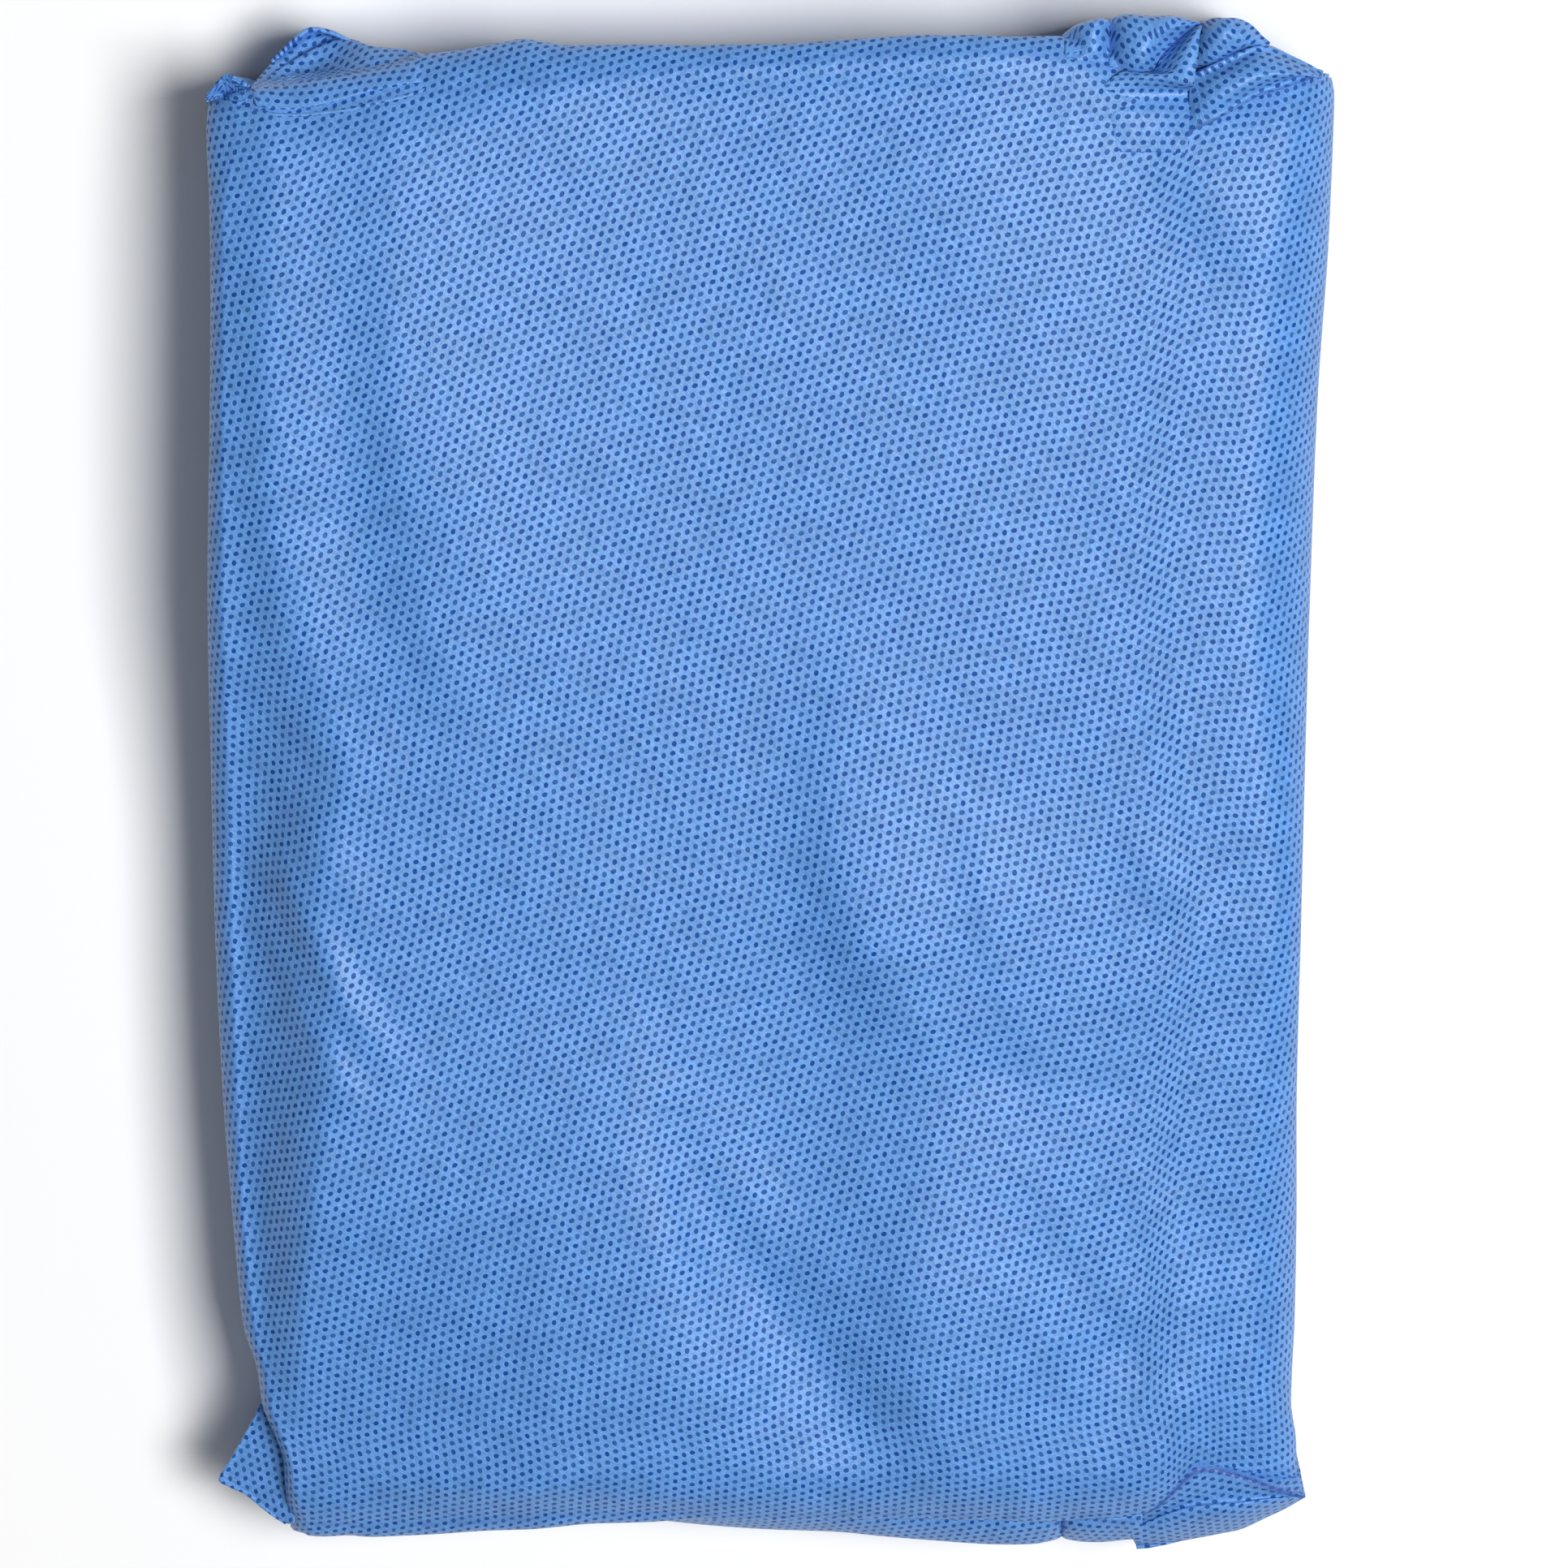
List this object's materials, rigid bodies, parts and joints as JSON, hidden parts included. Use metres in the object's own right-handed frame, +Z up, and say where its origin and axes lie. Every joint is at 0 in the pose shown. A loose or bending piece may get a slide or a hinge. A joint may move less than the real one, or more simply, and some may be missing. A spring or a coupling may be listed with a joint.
{
  "type": "folded surgical gown",
  "caption": "Surgical gown of bonded nonwoven cloth, folded flat into a rectangular pack with tucked ends and pleated corners, lying on its flat underside.",
  "frame": {"origin": "under the middle of the pack, on the surface it rests on", "axes": "X across the pack, Y along it towards the pleated end, Z up through its thickness"},
  "size_m": [0.1728, 0.2433, 0.0353],
  "materials": {
    "gown_cloth": "light blue spunbond nonwoven with small oval bond points, soft sheen",
    "folded_cloth": "the same cloth in folded layers"
  },
  "bodies": {
    "root": {"folded_layers": "folded_cloth", "outer_panel": "gown_cloth", "top_end_wall": "gown_cloth", "bottom_end_wall": "gown_cloth", "top_left_ear": "gown_cloth", "top_left_lobe": "gown_cloth", "top_right_pleat_1": "gown_cloth", "top_right_pleat_2": "gown_cloth", "top_right_pleat_3": "gown_cloth", "top_right_dog_ear": "gown_cloth", "top_right_flap": "gown_cloth", "bottom_left_ear": "gown_cloth", "bottom_lower_flap": "gown_cloth", "bottom_lower_pleat": "gown_cloth", "bottom_right_fold": "gown_cloth"}
  },
  "joints": []
}
